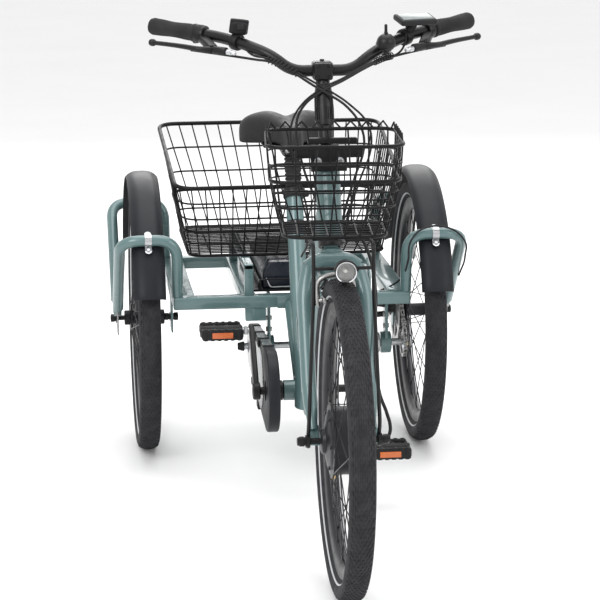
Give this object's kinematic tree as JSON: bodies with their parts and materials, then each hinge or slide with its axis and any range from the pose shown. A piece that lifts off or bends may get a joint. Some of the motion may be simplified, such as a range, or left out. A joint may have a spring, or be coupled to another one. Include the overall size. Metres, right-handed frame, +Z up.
{
  "type": "adult tricycle",
  "caption": "Step-through adult electric tricycle with a hub-motor front wheel, rear cargo frame, wire baskets, chain drive and sprung saddle.",
  "frame": {"origin": "centre of the footprint, on the ground", "axes": "+X to the rider's left, +Y towards the rear, +Z up; the tricycle faces -Y"},
  "size_m": [0.796, 1.8214, 1.0753],
  "materials": {
    "teal_paint": "gloss",
    "black_paint": "satin",
    "black_plastic": "matte",
    "black_rubber": "matte",
    "tyre": "matte",
    "rim_black": "satin",
    "silver": "brushed",
    "chrome": "polished",
    "lens": "clear",
    "battery_shell": "semi gloss",
    "saddle_cover": "grained",
    "pedal_plastic": "matte"
  },
  "bodies": {
    "frame": {"main_frame": "teal_paint", "headset_upper": "black_paint", "headset_lower": "black_paint", "seat_clamp": "black_paint", "cargo_frame": "teal_paint", "wheel_guard_left": "teal_paint", "wheel_guard_right": "teal_paint", "fender_left": "black_plastic", "fender_right": "black_plastic", "fender_clip_left": "silver", "fender_clip_right": "silver", "rear_basket": "black_paint", "battery_pack": "battery_shell", "battery_tray": "black_paint", "brake_calliper": "black_paint", "rear_axle_left": "black_paint", "rear_axle_right": "black_paint", "chain": "chrome", "chain_case": "black_plastic", "final_chain": "chrome"},
    "steering": {"fork": "teal_paint", "front_axle": "black_paint", "front_brake": "silver", "stem": "black_paint", "handlebar": "black_paint", "grip_left": "black_rubber", "grip_right": "black_rubber", "brake_mount_left": "black_paint", "brake_mount_right": "black_paint", "brake_cable_left": "black_rubber", "brake_cable_right": "black_rubber", "display": "black_plastic", "switch_box": "black_plastic", "bell": "black_paint", "front_basket": "black_paint", "basket_bracket": "black_paint", "basket_stays": "black_paint", "headlight_housing": "black_plastic", "headlight_lens": "lens", "motor_cable": "black_rubber"},
    "front_wheel": {"front_tyre": "tyre", "front_wheel": "rim_black"},
    "rear_wheel_left": {"rear_tyre_left": "tyre", "rear_wheel_left": "rim_black"},
    "rear_wheel_right": {"rear_tyre_right": "tyre", "rear_wheel_right": "rim_black"},
    "brake_lever_left": {"brake_lever_left": "black_paint"},
    "brake_lever_right": {"brake_lever_right": "black_paint"},
    "throttle": {"throttle": "black_plastic"},
    "bell_lever": {"bell_lever": "black_plastic"},
    "switch_button": {"switch_button": "black_plastic"},
    "cranks": {"crankset": "black_paint", "crank_arm_left": "black_paint"},
    "pedal_left": {"pedal_left": "pedal_plastic"},
    "pedal_right": {"pedal_right": "pedal_plastic"},
    "jackshaft": {"jackshaft": "silver"},
    "seat_post": {"seat_post": "black_paint", "seat_boot": "black_rubber"},
    "saddle": {"saddle_clamp": "black_paint", "saddle": "saddle_cover"}
  },
  "joints": [
    {"name": "steer", "type": "hinge", "parent": "frame", "child": "steering", "pos_m": [0, -0.5517, 0.305], "axis": [0, 0.3746, 0.9272], "range_deg": [-40, 40]},
    {"name": "front_wheel_spin", "type": "hinge", "parent": "steering", "child": "front_wheel", "pos_m": [0, -0.6057, 0.305], "axis": [1, 0, 0], "continuous": true},
    {"name": "rear_wheel_left_spin", "type": "hinge", "parent": "frame", "child": "rear_wheel_left", "pos_m": [0.318, 0.5943, 0.305], "axis": [1, 0, 0], "continuous": true},
    {"name": "rear_wheel_right_spin", "type": "hinge", "parent": "frame", "child": "rear_wheel_right", "pos_m": [-0.318, 0.5943, 0.305], "axis": [1, 0, 0], "continuous": true},
    {"name": "crank_spin", "type": "hinge", "parent": "frame", "child": "cranks", "pos_m": [0, 0.1143, 0.235], "axis": [1, 0, 0], "continuous": true},
    {"name": "jackshaft_spin", "type": "hinge", "parent": "frame", "child": "jackshaft", "pos_m": [0, 0.5223, 0.245], "axis": [1, 0, 0], "continuous": true},
    {"name": "pedal_left_spin", "type": "hinge", "parent": "cranks", "child": "pedal_left", "pos_m": [0.168, 0.01064, 0.12383], "axis": [1, 0, 0], "continuous": true},
    {"name": "pedal_right_spin", "type": "hinge", "parent": "cranks", "child": "pedal_right", "pos_m": [-0.168, 0.21797, 0.34617], "axis": [1, 0, 0], "continuous": true},
    {"name": "brake_left", "type": "hinge", "parent": "steering", "child": "brake_lever_left", "pos_m": [0.212, -0.2307, 1.005], "axis": [0, 0, 1], "range_deg": [0, 20], "stiffness_Nm_per_rad": 0.8, "springref_deg": -5.73},
    {"name": "brake_right", "type": "hinge", "parent": "steering", "child": "brake_lever_right", "pos_m": [-0.212, -0.2307, 1.005], "axis": [0, 0, -1], "range_deg": [0, 20], "stiffness_Nm_per_rad": 0.8, "springref_deg": -5.73},
    {"name": "throttle_twist", "type": "hinge", "parent": "steering", "child": "throttle", "pos_m": [-0.22908, -0.16227, 1.02986], "axis": [-0.8124, 0.5754, 0.0948], "range_deg": [0, 60], "stiffness_Nm_per_rad": 0.05, "springref_deg": -5.73},
    {"name": "bell_thumb", "type": "hinge", "parent": "steering", "child": "bell_lever", "pos_m": [0.125, -0.2867, 1.0375], "axis": [0, 1, 0], "range_deg": [0, 25], "stiffness_Nm_per_rad": 0.02, "springref_deg": -5.73},
    {"name": "switch_press", "type": "slide", "parent": "steering", "child": "switch_button", "axis": [0, 1, 0], "range_m": [0, 0.0006], "stiffness_N_per_m": 300, "springref_m": -0.0005},
    {"name": "seat_height", "type": "slide", "parent": "frame", "child": "seat_post", "axis": [0, 0.3893, 0.9211], "range_m": [0, 0.1]},
    {"name": "seat_suspension", "type": "slide", "parent": "seat_post", "child": "saddle", "axis": [0, -0.3893, -0.9211], "range_m": [0, 0.022], "stiffness_N_per_m": 25000, "springref_m": -0.001, "deforming": ["seat_boot"]}
  ],
  "couplings": [
    {"joint": "jackshaft_spin", "follows": "crank_spin", "ratio": 1.97}
  ]
}
